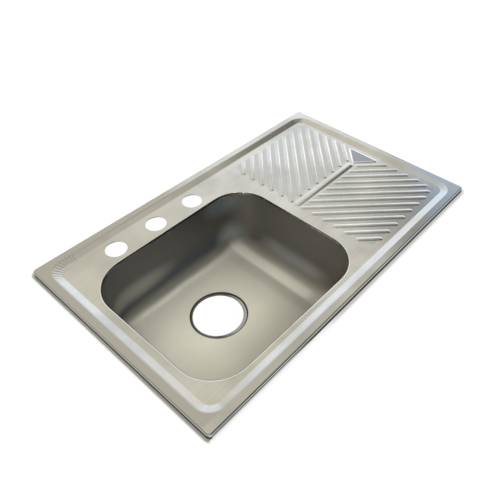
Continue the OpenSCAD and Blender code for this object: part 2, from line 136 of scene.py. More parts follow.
class SinkBowl(bpy.types.PropertyGroup):
    """Sizes of the drawn bowl and its drain"""

    left: length("Left", "Left side of the opening", -351 * MM, low=-1.0)
    right: length("Right", "Right side of the opening", 65 * MM, low=-1.0)
    front: length("Front", "Front side of the opening", -205 * MM, low=-1.0)
    back: length("Back", "Back side of the opening", 148 * MM, low=-1.0)
    corner: length("Corner", "Corner radius of the opening", 79 * MM)
    floor_corner: length("Floor Corner", "Corner radius at the floor", 45 * MM)
    depth: length("Depth", "Depth of the floor below the deck", 165 * MM)
    lip: length("Lip", "Radius of the lip around the opening", 3 * MM)
    collar: length("Collar", "Straight collar under the lip", 2 * MM)
    draft: length("Draft", "How far the walls lean in", 4 * MM)
    fillet: length("Fillet", "Floor fillet of the front, back and left walls", 24 * MM)
    board_fillet: length("Board Fillet", "Floor fillet on the drainboard's side", 56 * MM)
    drain_x: length("Drain X", "Place of the drain", -152 * MM, low=-1.0)
    drain_y: length("Drain Y", "Place of the drain", 10.5 * MM, low=-1.0)
    drain_radius: length("Drain Radius", "Radius of the drain hole", 56 * MM)
    recess_radius: length("Recess Radius", "Radius of the pressed recess", 63.3 * MM)
    recess_x: length("Recess X", "How far the recess sits off the hole", 1.2 * MM, low=-1.0)
    recess_y: length("Recess Y", "How far the recess sits off the hole", -1.9 * MM, low=-1.0)
    recess_depth: length("Recess Depth", "Depth of the recess", 2.8 * MM)
    recess_bend: length("Recess Bend", "Radius of the recess's bends", 1.3 * MM)


class SinkFinish(bpy.types.PropertyGroup):
    """Colours of the finishes, of the painted shade, highlights and reflections on the steel, of
    the worktop and of the room
    """

    steel: colour("Steel", "Satin steel of the top", (0.65, 0.635, 0.61))
    steel_worn: colour("Steel Blotches", "Duller blotches in the satin", (0.49, 0.478, 0.455))
    bowl: colour("Bowl", "Matt steel of the bowl", (0.545, 0.532, 0.465))
    bowl_worn: colour("Bowl Blotches", "Duller blotches in the bowl", (0.528, 0.515, 0.45))
    # Painted light: the colours from here down to the drain's paler crescent are painted shade,
    # highlights and reflections on the steel, not its own colour
    painted_wall_shade: colour("Bowl Walls", "Dull steel of the drawn walls", (0.22, 0.215, 0.20))
    skirt: colour("Skirt", "Shaded steel of the rim's skirt", (0.05, 0.048, 0.045))
    strip: colour("Skirt Strip", "Pale strip low on the front skirt", (0.52, 0.56, 0.62))
    low: colour("Collar", "Shaded steel of the collar under the lip", (0.11, 0.108, 0.10))
    painted_slope_shade: colour("Dim Slope", "Dull slope behind the drainboard", (0.36, 0.35, 0.33))
    soft_low: colour("Soft Collar", "Collar on the drainboard's side", (0.36, 0.35, 0.33))
    triangle: colour("Triangle", "Dull face of the raised triangle", (0.31, 0.335, 0.38))
    valley: colour("Valleys", "Duller satin between the ribs", (0.47, 0.475, 0.47))
    land: colour("Land", "Duller land at the bowl's end", (0.46, 0.45, 0.425))
    painted_highlight: colour("Lip", "Bright steel of the lip's bend", (0.95, 0.95, 0.93))
    painted_board_wall_shade: colour("Board Wall", "Wall on the drainboard's side", (0.34, 0.327, 0.31))
    painted_blue_wall_reflection: colour("Back Wall Foot", "Bluish band low on the back wall", (0.16, 0.18, 0.215))
    streak: colour("Corner Streak", "Paler steel in the bowl's back corner", (0.62, 0.65, 0.68))
    painted_pale_wall_reflection: colour("Pale Wall", "Paler steel at the back wall's left end", (0.60, 0.60, 0.55))
    blue_sheen: colour("Blue Sheen", "Bluish top of the bowl's back corner", (0.44, 0.49, 0.53))
    crease_shade: colour("Crease", "Duller line before the wide fillet", (0.475, 0.463, 0.41))
    band: colour("Band", "Bright line where the wide fillet starts", (0.68, 0.665, 0.59))
    foot: colour("Foot", "Paler foot of the wall on the drainboard's side", (0.66, 0.65, 0.65))
    cool: colour("Cool End", "Bluish steel at the front right corner", (0.55, 0.60, 0.665))
    ledge: colour("Drain Ledge", "Shaded ledge around the drain", (0.10, 0.098, 0.09))
    ring: colour("Drain Ring", "Dark bend around the drain's ledge", (0.05, 0.05, 0.046))
    lit_ledge: colour("Lit Drain Ledge", "The ledge's paler crescent", (0.33, 0.33, 0.325))
    zinc: colour("Zinc", "Zinc plating of the clamps", (0.60, 0.62, 0.66))
    foam: colour("Foam", "Foam of the rim's seal", (0.05, 0.05, 0.055))
    bitumen: colour("Bitumen", "Sound-deadening pads", (0.10, 0.10, 0.11))
    floor: colour("Floor", "Pale worktop that the sink lies in", (0.93, 0.93, 0.93))
    room: colour("Room", "Light of the room's pale side", (0.90, 0.875, 0.755))
    room_cool: colour("Cool Room", "Light beside the windows", (0.56, 0.61, 0.66))
    room_dim: colour("Dim Room", "Light of the room's left side", (0.28, 0.27, 0.24))
    room_dark: colour("Dark Room", "Light of the room's dark side", (0.11, 0.11, 0.115))
    panel: colour("Panel", "Light of the pale wall over the windows", (1.07, 1.07, 1.02))
    window: colour("Windows", "Light of the low windows", (1.20, 1.27, 1.33))
    glare: colour("Glare", "Brightest pane of the windows", (1.8, 1.85, 1.9))


# Outlines


def rounded(corners, radius, z, steps):
    """Points around a convex outline, counter-clockwise, at a radius from its corners."""
    points = []
    for i, corner in enumerate(corners):
        into = corner - corners[i - 1]
        out = corners[(i + 1) % len(corners)] - corner
        start = math.atan2(into.y, into.x)
        turn = (math.atan2(out.y, out.x) - start) % (2 * math.pi)
        for s in range(steps + 1):
            a = start - math.pi / 2 + turn * s / steps
            points.append(
                Vector((corner.x + radius * math.cos(a), corner.y + radius * math.sin(a), z))
            )
    return points


def oblong(x0, x1, y0, y1, radius, z, steps):
    """Points around a rounded rectangle."""
    corners = [
        Vector((x1 - radius, y1 - radius)), Vector((x0 + radius, y1 - radius)),
        Vector((x0 + radius, y0 + radius)), Vector((x1 - radius, y0 + radius)),
    ]
    return rounded(corners, radius, z, steps)


def circle(x, y, radius, z, count):
    return [
        Vector((x + radius * math.cos(a), y + radius * math.sin(a), z))
        for a in (2 * math.pi * i / count for i in range(count))
    ]


def bend(across, height, radius, start, turn, steps):
    """Points of a fold's section around a centre, from a start angle in degrees through a turn."""
    points = []
    for i in range(steps + 1):
        a = math.radians(start + turn * i / steps)
        points.append((across + radius * math.cos(a), height + radius * math.sin(a)))
    return points


# Mesh tools


def loft(bm, loops):
    """Carries a ring of edges through loops of equal count. Returns its first and last edges."""
    order = bm.verts.layers.int.get("order") or bm.verts.layers.int.new("order")
    made = bmesh.ops.create_circle(bm, cap_ends=False, segments=len(loops[0]), radius=1)
    for i, vert in enumerate(made["verts"]):
        vert[order] = i
        vert.co = loops[0][i]
    first = list({edge for vert in made["verts"] for edge in vert.link_edges})
    edges = first
    for loop in loops[1:]:
        out = bmesh.ops.extrude_edge_only(bm, edges=edges)
        verts = {g for g in out["geom"] if isinstance(g, bmesh.types.BMVert)}
        for vert in verts:
            vert.co = loop[vert[order]]
        edges = [
            g for g in out["geom"]
            if isinstance(g, bmesh.types.BMEdge) and set(g.verts) <= verts
        ]
    return first, edges


def raised(bm, loops):
    """Lofts a pressed shape, closes its crest and returns its first edges."""
    first, last = loft(bm, loops)
    bmesh.ops.edgeloop_fill(bm, edges=last)
    return first


def fill(bm, groups):
    """Fills the flat sheet between one outer ring of edges and those inside it."""
    edges = [edge for group in groups for edge in group]
    bmesh.ops.triangle_fill(bm, edges=edges, use_beauty=True, normal=(0, 0, 1))


def dome(share):
    """Height of a pressed rib, from 0 at its foot (share 1) to 1 at its crest (share 0)."""
    return max(0.0, 1 - share * share) ** 1.5


def pressed_loops(corners, half, height, z, steps):
    """Loops that raise a rounded rib from the deck, with a flat margin at its foot."""
    foot = half + 0.4 * MM
    margin = foot + 0.5 * MM
    loops = [rounded(corners, margin, z, steps), rounded(corners, foot, z, steps)]
    for share in (0.9, 0.79, 0.66, 0.52, 0.37, 0.2):
        loops.append(rounded(corners, foot * share, z + height * dome(share), steps))
    return loops


def face_up(bm):
    """Turns a sheet's faces so that most of them look up."""
    bmesh.ops.recalc_face_normals(bm, faces=bm.faces)
    if sum(face.normal.dot(UP) * face.calc_area() for face in bm.faces) < 0:
        bmesh.ops.reverse_faces(bm, faces=bm.faces)


def new_piece(name, bm, material, nodes, body="sink"):
    """Turns a bmesh into a piece that stands for CAD nodes and rides on a body."""
    face_up(bm)
    for face in bm.faces:
        face.smooth = True
    for edge in bm.edges:
        if edge.is_boundary:
            edge.smooth = False
    mesh = bpy.data.meshes.new(name)
    bm.to_mesh(mesh)
    bm.free()
    mesh.materials.append(material)
    piece = bpy.data.objects.new(name, mesh)
    bpy.context.scene.collection.objects.link(piece)
    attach(piece, body)
    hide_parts(*nodes)
    return piece


def thicken(piece, thickness):
    sheet = piece.modifiers.new("Sheet", "SOLIDIFY")
    sheet.thickness = thickness
    sheet.offset = -1
    sheet.use_quality_normals = True


# Shader tools


class Shader:
    """Adds nodes to a node tree from left to right."""

    def __init__(self, tree):
        self.tree = tree
        self.tree.nodes.clear()
        self.place = 0

    def add(self, kind, settings=None, **inputs):
        node = self.tree.nodes.new(kind)
        node.location = (220 * (self.place % 8), -320 * (self.place // 8))
        self.place += 1
        for key, value in (settings or {}).items():
            setattr(node, key, value)
        for key, value in inputs.items():
            self.set(node, key, value)
        return node

    def set(self, node, key, value):
        socket = node.inputs[int(key[1:])] if key[0] == "i" and key[1:].isdigit() else None
        if socket is None:
            socket = node.inputs[key.replace("_", " ")]
        if isinstance(value, bpy.types.NodeSocket):
            self.tree.links.new(value, socket)
        else:
            socket.default_value = value

    def math(self, operation, a, b=0.0):
        return self.add("ShaderNodeMath", {"operation": operation}, i0=a, i1=b).outputs[0]

    def product(self, first, *others):
        for other in others:
            first = self.math("MULTIPLY", first, other)
        return first

    def off(self, value, middle):
        """How far a value lies from a middle."""
        return self.math("ABSOLUTE", self.math("SUBTRACT", value, middle))

    def vector_math(self, operation, a, b=(0.0, 0.0, 0.0), result="Vector"):
        node = self.add("ShaderNodeVectorMath", {"operation": operation}, i0=a, i1=b)
        return node.outputs[result]

    def size(self, vector):
        return self.vector_math("LENGTH", vector, result="Value")

    def toward(self, direction, aim):
        """How nearly a direction points along aim, as a cosine."""
        return self.vector_math("DOT_PRODUCT", direction, aim, "Value")

    def flat(self, place):
        """A place's X and Y alone."""
        return self.vector_math("MULTIPLY", place, (1, 1, 0))

    def about(self, place, centre, scale=(1.0, 1.0, 1.0)):
        """A place seen from a centre, each axis times its scale."""
        moved = tuple(-c * factor for c, factor in zip(centre, scale))
        return self.add("ShaderNodeMapping", Vector=place, Location=moved, Scale=scale).outputs[0]

    def split(self, vector):
        parts = self.add("ShaderNodeSeparateXYZ", Vector=vector)
        return [parts.outputs[key] for key in "XYZ"]

    def ramp(self, value, low, high, to_low=0.0, to_high=1.0, smooth=True):
        """Maps low..high of a value to another range, 0..1 if none is given."""
        kind = "SMOOTHSTEP" if smooth else "LINEAR"
        node = self.add(
            "ShaderNodeMapRange", {"interpolation_type": kind},
            Value=value, From_Min=low, From_Max=high, To_Min=to_low, To_Max=to_high,
        )
        return node.outputs["Result"]

    def fade(self, place, none, full):
        """A mask that is 0 at one place and 1 at the other, both in millimetres."""
        return self.ramp(place, none * MM, full * MM)

    def mix(self, factor, a, b):
        node = self.add("ShaderNodeMix", {"data_type": "RGBA"})
        for index, value in ((0, factor), (6, a), (7, b)):
            if isinstance(value, bpy.types.NodeSocket):
                self.tree.links.new(value, node.inputs[index])
            else:
                node.inputs[index].default_value = value
        return node.outputs[2]

    def noise(self, vector, scale, detail=2.0, roughness=0.5):
        node = self.add(
            "ShaderNodeTexNoise", Vector=vector, Scale=scale, Detail=detail, Roughness=roughness
        )
        return node.outputs["Fac"]

    def bump(self, height, strength, distance):
        node = self.add("ShaderNodeBump", Strength=strength, Distance=distance, Height=height)
        return node.outputs["Normal"]


def rgba(value):
    return (*value, 1.0)


def grain_group():
    """Fine lines of a satin finish and the soft blotches in it, built once."""
    name = "Satin Grain"
    tree = bpy.data.node_groups.get(name)
    if tree:
        return tree
    tree = bpy.data.node_groups.new(name, "ShaderNodeTree")
    face = tree.interface
    face.new_socket("Vector", in_out="INPUT", socket_type="NodeSocketVector")
    for label, value in (("Along", 4.0), ("Across", 700.0), ("Blotch Scale", 7.0)):
        face.new_socket(label, in_out="INPUT", socket_type="NodeSocketFloat").default_value = value
    for label in ("Lines", "Blotches", "Height"):
        face.new_socket(label, in_out="OUTPUT", socket_type="NodeSocketFloat")
    s = Shader(tree)
    given = s.add("NodeGroupInput")
    out = s.add("NodeGroupOutput")
    scale = s.add(
        "ShaderNodeCombineXYZ", X=given.outputs["Along"], Y=given.outputs["Across"],
        Z=given.outputs["Across"],
    ).outputs[0]
    stretched = s.vector_math("MULTIPLY", given.outputs["Vector"], scale)
    lines = s.noise(stretched, 1.0, 3.0, 0.6)
    blotches = s.noise(given.outputs["Vector"], given.outputs["Blotch Scale"], 3.0, 0.55)
    waves = s.noise(given.outputs["Vector"], 3.2, 1.0, 0.4)
    height = s.math("ADD", s.product(lines, 0.0015), waves)
    for socket, value in zip(out.inputs, (lines, blotches, height)):
        tree.links.new(value, socket)
    return tree


def new_material(name):
    material = bpy.data.materials.get(name) or bpy.data.materials.new(name)
    material.use_nodes = True
    return material, Shader(material.node_tree)


def surface(s, **inputs):
    shader = s.add("ShaderNodeBsdfPrincipled", **inputs)
    s.add("ShaderNodeOutputMaterial", Surface=shader.outputs["BSDF"])


def satin_steel(name, base, worn, rough_low, rough_high, wave_depth, marks):
    """Brushed stainless steel: grain in its roughness, blotches in its colour, slight waves.

    The marks function puts the piece's painted shade, highlights and reflections, and its own
    marks, on the colour, the height and the shine.
    """
    material, s = new_material(name)
    place = s.add("ShaderNodeTexCoord").outputs["Object"]
    grain = s.add("ShaderNodeGroup", {"node_tree": grain_group()}, Vector=place)
    tone = s.ramp(grain.outputs["Blotches"], 0.35, 0.68)
    streak = s.ramp(grain.outputs["Lines"], 0.3, 0.7, 0.0, 0.35)
    tint = s.mix(s.product(s.math("ADD", tone, streak), 0.75), rgba(base), rgba(worn))
    tint, height, shine = marks(s, place, tint, grain.outputs["Height"])
    dull = s.math("ADD", s.product(tone, 0.6), streak)
    rough = s.ramp(dull, 0.0, 0.95, rough_low, rough_high, smooth=False)
    rough = s.math("MAXIMUM", rough, s.math("SUBTRACT", 0.95, shine))
    normal = s.bump(height, 1.0, wave_depth)
    surface(s, Base_Color=tint, Metallic=shine, Roughness=rough, Normal=normal)
    return material


def top_marks(s, place, tint, height):
    """Painted shade, highlights and reflections on the top, and the press wrinkles in one corner.
    """
    finish = bpy.context.scene.sink_finish
    x, y, z = s.split(place)
    # Painted reflection: bluish steel towards the front right corner
    front_right = s.fade(s.math("SUBTRACT", x, y), 440, 570)
    tint = s.mix(front_right, tint, rgba(finish.cool))
    # Painted shade on the land at the bowl's left end, weaker along the front
    land = s.product(s.fade(z, 10.5, 11.8), s.fade(x, -20, -90))
    land = s.product(land, s.ramp(y, -236 * MM, -228 * MM, 0.45, 1.0))
    tint = s.mix(land, tint, rgba(finish.land))
    tint = lip_marks(s, x, z, tint)
    tint, shine = skirt_marks(s, x, y, z, tint)
    tint = rib_marks(s, x, y, tint)
    tint = triangle_marks(s, x, y, tint)
    # Painted shade on the sloped band behind the drainboard
    slope = s.product(s.fade(z, 7.1, 8), s.fade(z, 11.8, 11))
    behind_board = s.product(slope, s.fade(y, 214, 220), s.fade(x, 40, 180))
    tint = s.mix(behind_board, tint, rgba(finish.painted_slope_shade))
    wrinkles = corner_wrinkles(s, place)
    # Painted shade along the wrinkles, on top of their bumps in the height
    tint = s.mix(s.ramp(wrinkles, 0.0, 0.8, 0.0, 0.2), tint, rgba(finish.low))
    return tint, s.math("ADD", height, s.product(wrinkles, -0.2)), shine


def lip_marks(s, x, z, tint):
    """Painted highlight on the bend around the bowl's opening, and painted shade on the collar
    under it.
    """
    finish = bpy.context.scene.sink_finish
    inside = s.fade(x, 80, 70)
    # Painted highlight on the lip's bend
    tint = s.mix(s.product(inside, s.fade(z, 6.98, 6.92)), tint, rgba(finish.painted_highlight))
    # Painted shade on the collar, lighter on the drainboard's side
    low = s.mix(s.fade(x, -40, 25), rgba(finish.low), rgba(finish.soft_low))
    return s.mix(s.product(inside, s.fade(z, 6.75, 6.6)), tint, low)


def skirt_marks(s, x, y, z, tint):
    """Painted shade on the skirts at the left and the front, which also lose their shine, with a
    painted pale reflection low on the front.
    """
    finish = bpy.context.scene.sink_finish
    below = s.fade(z, 9.5, 8)
    left = s.product(below, s.fade(x, -398.6, -399.4))
    # Painted shade on the left skirt
    tint = s.mix(left, tint, rgba(finish.skirt))
    front = s.product(s.fade(y, -248.6, -249.4), s.fade(x, -396, -392), below)
    # Painted shade on the front skirt, with a painted pale bluish reflection low along its left
    # part
    pale = s.product(s.fade(z, 6, 4), s.fade(x, -130, -230))
    tint = s.mix(front, tint, s.mix(pale, rgba(finish.skirt), rgba(finish.strip)))
    # The steel loses its shine where the shade is painted, which darkens it further
    painted_shade = s.math("MAXIMUM", left, s.product(front, s.math("SUBTRACT", 1.0, pale)))
    return tint, s.math("SUBTRACT", 1.0, painted_shade)


def rib_marks(s, x, y, tint):
    """Painted shade in the valleys between the ribs, which repeat along a line at 45 degrees."""
    board, finish = bpy.context.scene.sink_board, bpy.context.scene.sink_finish
    across = s.math("ABSOLUTE", y)
    along = s.math("SUBTRACT", s.math("SUBTRACT", x, across), board.first_rib)
    turns = s.math("DIVIDE", along, board.pitch)
    field = s.product(
        s.ramp(turns, 0.6, 0.3), s.fade(across, 12, 20), s.fade(across, 203, 196),
        s.fade(x, 95, 110), s.fade(x, 358, 350),
    )
    # Painted shade in each valley
    valley = s.product(field, s.ramp(s.off(s.math("FRACT", turns), 0.5), 0.32, 0.2), 0.75)
    return s.mix(valley, tint, rgba(finish.valley))


def triangle_marks(s, x, y, tint):
    """Painted reflection on the raised triangle's face inside a painted highlight on its edge."""
    finish = bpy.context.scene.sink_finish
    tip, base, slant = 312 * MM, 353.5 * MM, 0.95
    across = s.math("ABSOLUTE", y)
    within = s.math("SUBTRACT", s.product(s.math("SUBTRACT", x, tip), slant), across)
    reach = s.ramp(x, 351 * MM, base, 1.0, 0.0)
    # Painted highlight along the triangle's flanks and foot
    flanks = s.product(s.fade(s.off(within, -2.2 * MM), 3, 1.2), reach)
    foot = s.product(s.fade(s.off(x, base), 2.2, 1), s.fade(within, -3, 0))
    tint = s.mix(s.math("MAXIMUM", flanks, foot), tint, rgba(finish.painted_highlight))
    # Painted reflection: a dull bluish face
    return s.mix(s.product(s.fade(within, -1.5, 1.5), reach), tint, rgba(finish.triangle))


def corner_wrinkles(s, place):
    """Fine press wrinkles that fan out over the sloped band in the back left corner."""
    phase_per_radian = 48.0
    centre = s.about(place, (-335 * MM, 175 * MM, 0.0))
    x, y, _ = s.split(centre)
    angle = s.math("ARCTAN2", y, x)
    wave = s.math("SINE", s.product(angle, phase_per_radian))
    radius = s.size(s.flat(centre))
    band = s.product(s.fade(radius, 36, 42), s.fade(radius, 60, 54))
    sector = s.product(s.ramp(angle, 1.2, 1.4), s.ramp(angle, 2.85, 2.55))
    return s.product(wave, band, sector)


def bowl_marks(s, place, tint, height):
    """Painted shade on the walls above the floor's fillet and on a dark bend around the drain's
    ledge, and painted light and shade near the wide fillet.
    """
    finish = bpy.context.scene.sink_finish
    x, y, z = s.split(place)
    wall = wall_marks(s, place, x, y, z)
    # Painted shade: a duller line just before the wide fillet
    crease_shade = s.product(s.fade(x, -30, -8), s.fade(x, 9, 3))
    tint = s.mix(crease_shade, tint, rgba(finish.crease_shade))
    # Painted highlight: a bright line where the wide fillet starts
    band = s.product(s.fade(x, 6, 14), s.fade(x, 40, 28), s.fade(y, -125, -95))
    tint = s.mix(band, tint, rgba(finish.band))
    # Painted shade: the walls above the floor's fillet take the darker wall colours
    tint = s.mix(s.fade(z, -150, -118), tint, wall)
    return drain_marks(s, place, tint), height, 1.0


def wall_marks(s, place, x, y, z):
    """Painted shade on the bowl's walls, with painted reflections as soft patches along the back
    and a pale foot at the right.
    """
    finish = bpy.context.scene.sink_finish
    # Painted shade on the walls, lighter on the drainboard's side
    wall = s.mix(s.fade(x, 5, 50), rgba(finish.painted_wall_shade), rgba(finish.painted_board_wall_shade))
    # Painted reflection: a bluish band low on the back wall
    back = s.product(s.fade(y, 110, 138), s.fade(z, -70, -105), 0.8)
    wall = s.mix(back, wall, rgba(finish.painted_blue_wall_reflection))
    # Painted reflections: pale, bluish and streaky patches along the back wall
    for spot, scale, near, far, shade in (
        ((-258, 145, -92), (0.45, 1.0, 1.7), 6, 62, finish.painted_pale_wall_reflection),
        ((0, 146, -8), (0.8, 1.0, 1.0), 12, 52, finish.blue_sheen),
        ((16, 138, -120), (0.9, 1.0, 0.9), 6, 52, finish.streak),
    ):
        gap = s.size(s.about(place, [c * MM for c in spot], scale))
        wall = s.mix(s.fade(gap, far, near), wall, rgba(shade))
    # Painted reflection: a paler foot of the wall on the drainboard's side
    foot = s.product(s.fade(x, 44, 56), s.fade(z, -88, -122))
    foot = s.product(foot, s.fade(s.off(y, -25 * MM), 118, 50))
    return s.mix(foot, wall, rgba(finish.foot))


def drain_marks(s, place, tint):
    """Painted shade on the ledge around the drain with a paler crescent of painted reflection,
    inside the painted dark shade of its bend.
    """
    bowl, finish = bpy.context.scene.sink_bowl, bpy.context.scene.sink_finish
    paler_side = (0.66, -0.75, 0.0)
    centre = (bowl.drain_x + bowl.recess_x, bowl.drain_y + bowl.recess_y, 0.0)
    moved = s.about(place, centre)
    radius = s.size(s.flat(moved))
    side = s.math("DIVIDE", s.toward(moved, paler_side), radius)
    # Painted shade on the drain's ledge, with a painted reflection as the paler crescent on one
    # side
    ledge = s.mix(s.ramp(side, 0.1, 0.75), rgba(finish.ledge), rgba(finish.lit_ledge))
    wall = bowl.recess_radius - bowl.recess_bend
    tint = s.mix(s.ramp(radius, wall, wall - 1.5 * MM), tint, ledge)
    # Painted shade: a dark ring on the recess's bend
    ring = s.fade(s.off(radius, wall + 0.6 * MM), 2.2, 1.2)
    return s.mix(ring, tint, rgba(finish.ring))


def zinc_plate(name, base):
    """Zinc plating: faint crystals, a cool dull shine and small pits."""
    material, s = new_material(name)
    place = s.add("ShaderNodeTexCoord").outputs["Object"]
    crystals = s.add("ShaderNodeTexVoronoi", Vector=place, Scale=260.0).outputs["Color"]
    tone = s.add("ShaderNodeSeparateColor", Color=crystals).outputs[0]
    cloud = s.noise(place, 60.0, 3.0)
    dark = tuple(0.8 * c for c in base)
    tint = s.mix(s.product(s.math("ADD", tone, cloud), 0.5), rgba(base), rgba(dark))
    rough = s.ramp(cloud, 0.3, 0.7, 0.34, 0.52)
    pits = s.bump(s.noise(place, 900.0), 0.25, 0.2 * MM)
    surface(s, Base_Color=tint, Metallic=1.0, Roughness=rough, Normal=pits)
    return material


def foam_strip(name, base):
    """Closed-cell foam: dark, dull and full of small cells."""
    material, s = new_material(name)
    place = s.add("ShaderNodeTexCoord").outputs["Object"]
    cells = s.add("ShaderNodeTexVoronoi", Vector=place, Scale=1100.0).outputs["Distance"]
    tint = s.mix(s.ramp(cells, 0.1, 0.6), rgba(tuple(0.6 * c for c in base)), rgba(base))
    surface(s, Base_Color=tint, Roughness=0.92, Normal=s.bump(cells, 0.6, 0.4 * MM))
    return material


def bitumen_pad(name, base):
    """Bitumen felt: an embossed waffle and a mottled black."""
    material, s = new_material(name)
    place = s.add("ShaderNodeTexCoord").outputs["Object"]
    x, y, _ = s.split(place)
    radians_per_metre = 1250.0
    waffle = s.product(*(s.math("SINE", s.product(axis, radians_per_metre)) for axis in (x, y)))
    cloud = s.noise(place, 45.0, 4.0, 0.6)
    tint = s.mix(s.ramp(cloud, 0.35, 0.7), rgba(base), rgba(tuple(1.2 * c for c in base)))
    height = s.math("ADD", s.product(waffle, 0.5), cloud)
    surface(s, Base_Color=tint, Roughness=0.78, Normal=s.bump(height, 0.5, 0.6 * MM))
    return material


def worktop(name, base):
    """Pale worktop seen from above; from below it is clear, so the sink's underside shows.

    It glows only where it is seen. Its glow is left out in a band beside the rim, which paints a
    darker shadow line there, less so along the front left.
    """
    material, s = new_material(name)
    place = s.add("ShaderNodeTexCoord").outputs["Object"]
    cloud = s.noise(place, 3.0, 2.0)
    tint = s.mix(s.ramp(cloud, 0.2, 0.8), rgba(base), rgba(tuple(0.99 * c for c in base)))
    path = s.add("ShaderNodeLightPath")
    seen = s.math(
        "MAXIMUM", path.outputs["Is Camera Ray"],
        s.math("MAXIMUM", path.outputs["Is Glossy Ray"], path.outputs["Is Transmission Ray"]),
    )
    x, y, _ = s.split(place)
    half_x, half_y, strength = 392 * MM, 243.5 * MM, 0.64
    past = [
        s.math("MAXIMUM", 0.0, s.math("SUBTRACT", s.math("ABSOLUTE", axis), edge))
        for axis, edge in ((x, half_x), (y, half_y))
    ]
    gap = s.math("SQRT", s.math("ADD", *(s.product(part, part) for part in past)))
    front = s.product(
        s.fade(y, -249, -251), s.ramp(x, -60 * MM, -140 * MM, 0.55, 1.0), s.fade(x, -406, -398)
    )
    # Painted shadow: no glow in a band beside the rim, less so along the front left
    glow = s.product(s.math("MAXIMUM", s.fade(gap, 11, 15.5), front), strength, seen)
    shader = s.add(
        "ShaderNodeBsdfPrincipled", Base_Color=tint, Roughness=0.9,
        Emission_Color=(1.0, 1.0, 1.0, 1.0), Emission_Strength=glow,
    )
    clear = s.add("ShaderNodeBsdfTransparent")
    back = s.add("ShaderNodeNewGeometry").outputs["Backfacing"]
    both = s.add("ShaderNodeMixShader", i0=back, i1=shader.outputs["BSDF"], i2=clear.outputs[0])
    s.add("ShaderNodeOutputMaterial", Surface=both.outputs[0])
    return material


# Pieces


